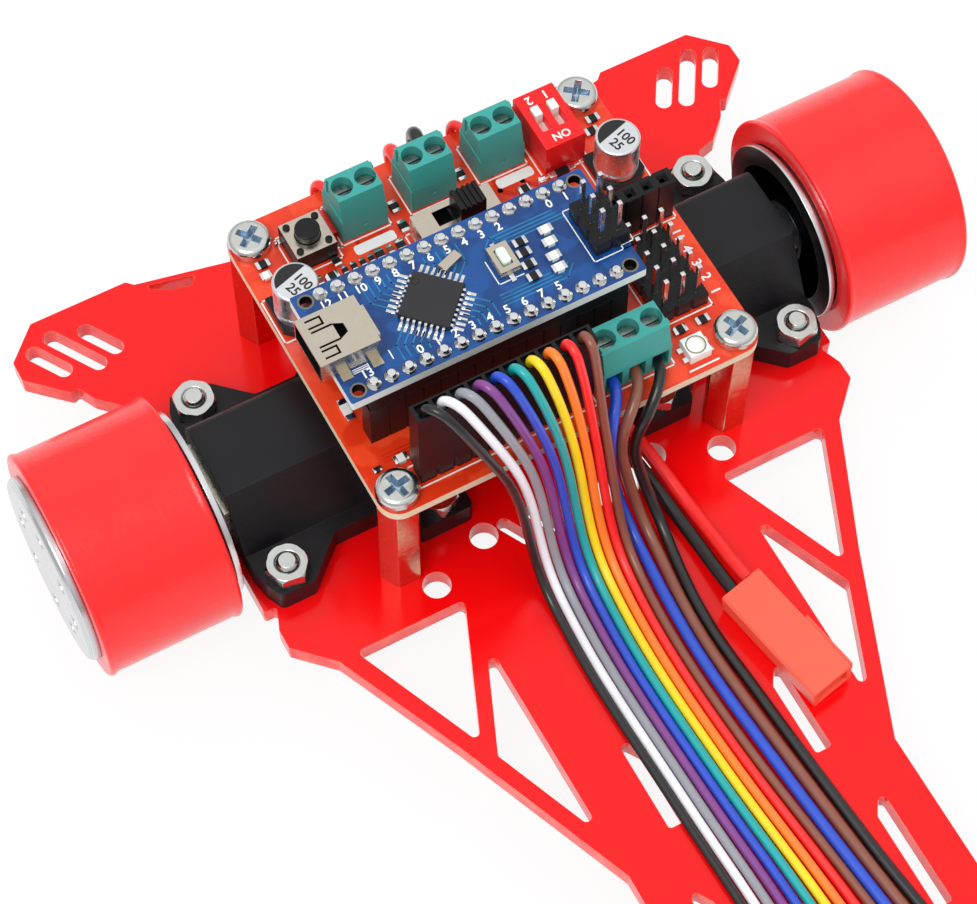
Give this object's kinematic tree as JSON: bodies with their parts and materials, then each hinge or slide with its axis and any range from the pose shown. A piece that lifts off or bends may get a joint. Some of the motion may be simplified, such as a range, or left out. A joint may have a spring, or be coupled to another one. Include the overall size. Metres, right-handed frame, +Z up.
{
  "type": "line follower robot",
  "caption": "Two-wheeled line follower robot: a cut plate with a long arm, geared motors, a stacked controller board, a ribbon of wires and a sensor board under the tip.",
  "frame": {"origin": "on the floor, below the middle of the part's outline", "axes": "+X to the robot's right, +Y to its rear along the arm, +Z up"},
  "size_m": [0.1374, 0.188, 0.0538],
  "materials": {
    "red_plastic_sheet": "glossy cast acrylic sheet",
    "printed_black": "layered 3D print",
    "brass": "bright machined",
    "steel": "ground",
    "aluminium": "fine turned",
    "red_rubber": "smooth satin silicone",
    "zinc_steel": "bright zinc plate",
    "white_nylon": "moulded",
    "red_board": "solder-masked glass-fibre board",
    "blue_board": "solder-masked glass-fibre board",
    "black_plastic": "moulded",
    "component_grey": "ceramic with tinned ends",
    "green_plastic": "moulded",
    "switch_metal": "nickel-plated sheet",
    "red_plastic": "moulded",
    "wire_black": "satin wire insulation",
    "wire_white": "satin wire insulation",
    "wire_grey": "satin wire insulation",
    "wire_purple": "satin wire insulation",
    "wire_blue": "satin wire insulation",
    "wire_teal": "satin wire insulation",
    "wire_yellow": "satin wire insulation",
    "wire_orange": "satin wire insulation",
    "wire_red": "satin wire insulation",
    "wire_brown": "satin wire insulation"
  },
  "bodies": {
    "chassis": {"chassis_plate": "red_plastic_sheet", "motor_bracket_right": "printed_black", "motor_bracket_left": "printed_black", "gearmotor_right": "brass", "gearmotor_left": "brass", "m3_bolts": "zinc_steel", "m3_nuts": "zinc_steel", "skid_nuts": "white_nylon", "board_spacers": "brass", "spacer_screws": "zinc_steel", "controller_board": "red_board", "nano_board": "blue_board", "nano_sockets": "black_plastic", "nano_pins": "black_plastic", "usb_socket": "zinc_steel", "microcontroller": "black_plastic", "small_parts": "component_grey", "pin_headers": "black_plastic", "socket_header": "black_plastic", "sensor_plug_rear": "black_plastic", "sensor_plug_front": "black_plastic", "two_way_terminals": "green_plastic", "sensor_terminal": "green_plastic", "terminal_screws": "zinc_steel", "tact_switch": "switch_metal", "reset_switch": "switch_metal", "slide_switch": "switch_metal", "dip_switch": "red_plastic", "rgb_led": "white_nylon", "capacitors": "aluminium", "sensor_board": "red_board", "line_sensors": "black_plastic", "motor_leads": "wire_red", "battery_plug": "red_plastic", "battery_wire_black": "wire_black", "battery_wire_red": "wire_red", "terminal_wire_blue": "wire_blue", "terminal_wire_brown": "wire_brown", "terminal_wire_black": "wire_black", "ribbon_wire_black": "wire_black", "ribbon_wire_white": "wire_white", "ribbon_wire_grey": "wire_grey", "ribbon_wire_purple": "wire_purple", "ribbon_wire_blue": "wire_blue", "ribbon_wire_teal": "wire_teal", "ribbon_wire_yellow": "wire_yellow", "ribbon_wire_orange": "wire_orange", "ribbon_wire_red": "wire_red", "ribbon_wire_brown": "wire_brown"},
    "wheel_right": {"wheel_hub_right": "aluminium", "tyre_right": "red_rubber", "motor_shaft_right": "steel"},
    "wheel_left": {"wheel_hub_left": "aluminium", "tyre_left": "red_rubber", "motor_shaft_left": "steel"},
    "power_slider": {"slide_lever": "black_plastic"},
    "setting_slider_1": {"dip_slider_1": "white_nylon"},
    "setting_slider_2": {"dip_slider_2": "white_nylon"},
    "start_button": {"tact_button": "black_plastic"},
    "reset_button_body": {"reset_button": "white_nylon"}
  },
  "joints": [
    {"name": "right_wheel_spin", "type": "hinge", "parent": "chassis", "child": "wheel_right", "pos_m": [0.057, 0.054, 0.0164], "axis": [1, 0, 0], "continuous": true},
    {"name": "left_wheel_spin", "type": "hinge", "parent": "chassis", "child": "wheel_left", "pos_m": [-0.057, 0.054, 0.0164], "axis": [1, 0, 0], "continuous": true},
    {"name": "power_switch", "type": "slide", "parent": "chassis", "child": "power_slider", "axis": [-1, 0, 0], "range_m": [0, 0.0023]},
    {"name": "setting_1", "type": "slide", "parent": "chassis", "child": "setting_slider_1", "axis": [0, -1, 0], "range_m": [0, 0.0022]},
    {"name": "setting_2", "type": "slide", "parent": "chassis", "child": "setting_slider_2", "axis": [0, -1, 0], "range_m": [0, 0.0022]},
    {"name": "start_press", "type": "slide", "parent": "chassis", "child": "start_button", "axis": [0, 0, -1], "range_m": [0, 0.00025], "stiffness_N_per_m": 400},
    {"name": "reset_press", "type": "slide", "parent": "chassis", "child": "reset_button_body", "axis": [0, 0, -1], "range_m": [0, 0.0002], "stiffness_N_per_m": 400}
  ]
}
